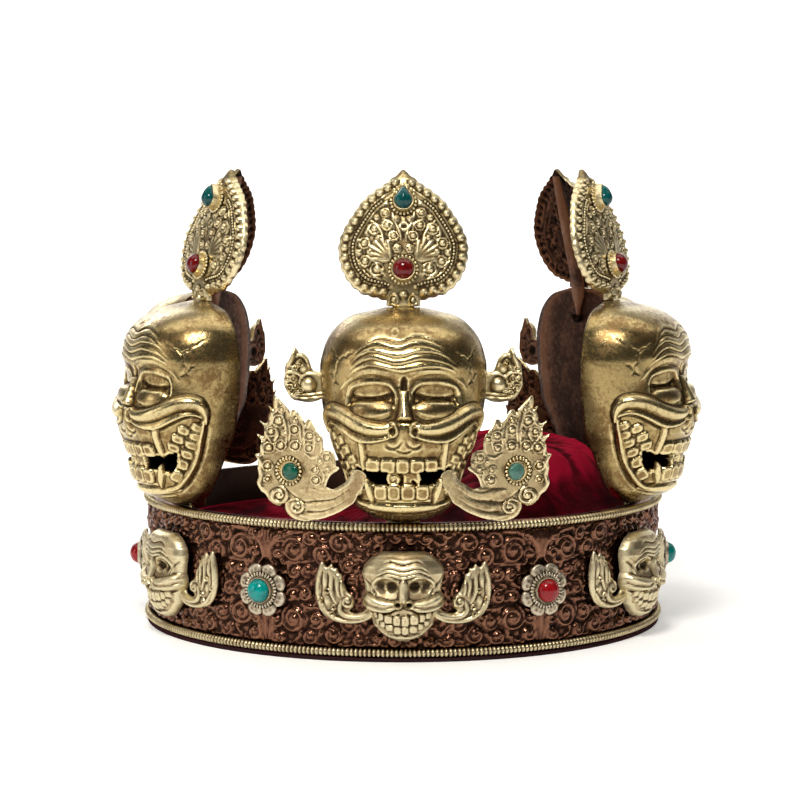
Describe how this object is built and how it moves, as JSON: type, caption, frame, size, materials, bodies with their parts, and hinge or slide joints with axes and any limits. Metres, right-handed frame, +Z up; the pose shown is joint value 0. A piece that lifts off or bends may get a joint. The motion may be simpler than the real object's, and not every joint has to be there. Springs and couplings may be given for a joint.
{
  "type": "ritual skull crown",
  "caption": "Ritual crown: gilt skull masks with leaf finials and flame wings on a scrolled copper band, with a soft velvet cap inside.",
  "frame": {"origin": "centre of the ring, on the surface that the crown stands on", "axes": "+Z up through the ring's centre, the front mask faces -Y, +X to the viewer's right"},
  "size_m": [0.2246, 0.2319, 0.1766],
  "materials": {
    "copper": "dark patinated copper, chased",
    "gilt": "worn gilding with dark recesses",
    "wire": "silvered beaded wire",
    "velvet": "crimson pile",
    "turquoise": "polished",
    "coral": "polished",
    "green": "polished"
  },
  "bodies": {
    "root": {"band": "copper", "band_flower_1": "gilt", "band_flower_2": "gilt", "band_flower_3": "gilt", "band_flower_4": "gilt", "band_flower_5": "gilt", "band_flower_6": "gilt", "band_skull_1": "gilt", "band_skull_2": "gilt", "band_skull_3": "gilt", "band_skull_4": "gilt", "band_skull_5": "gilt", "band_skull_6": "gilt", "ear_1_left": "gilt", "ear_1_right": "gilt", "ear_3_left": "gilt", "ear_3_right": "gilt", "ear_4_left": "gilt", "ear_4_right": "gilt", "flower_stone_1": "coral", "flower_stone_2": "turquoise", "flower_stone_3": "coral", "flower_stone_4": "turquoise", "flower_stone_5": "coral", "flower_stone_6": "turquoise", "leaf_1": "gilt", "leaf_2": "gilt", "leaf_3": "gilt", "leaf_4": "gilt", "leaf_5": "gilt", "leaf_cabochon_1": "coral", "leaf_cabochon_2": "coral", "leaf_cabochon_3": "coral", "leaf_cabochon_4": "coral", "leaf_cabochon_5": "coral", "leaf_drop_1": "turquoise", "leaf_drop_2": "turquoise", "leaf_drop_3": "turquoise", "leaf_drop_4": "turquoise", "leaf_drop_5": "turquoise", "rim_wire_bottom": "wire", "rim_wire_top": "wire", "skull_1": "gilt", "skull_2": "gilt", "skull_3": "gilt", "skull_4": "gilt", "skull_5": "gilt", "velvet_cap": "velvet", "wing_1_left": "gilt", "wing_1_right": "gilt", "wing_3_left": "gilt", "wing_3_right": "gilt", "wing_4_left": "gilt", "wing_4_right": "gilt", "wing_stone_1_left": "green", "wing_stone_1_right": "green", "wing_stone_3_left": "green", "wing_stone_3_right": "green", "wing_stone_4_left": "green", "wing_stone_4_right": "green"}
  },
  "joints": []
}
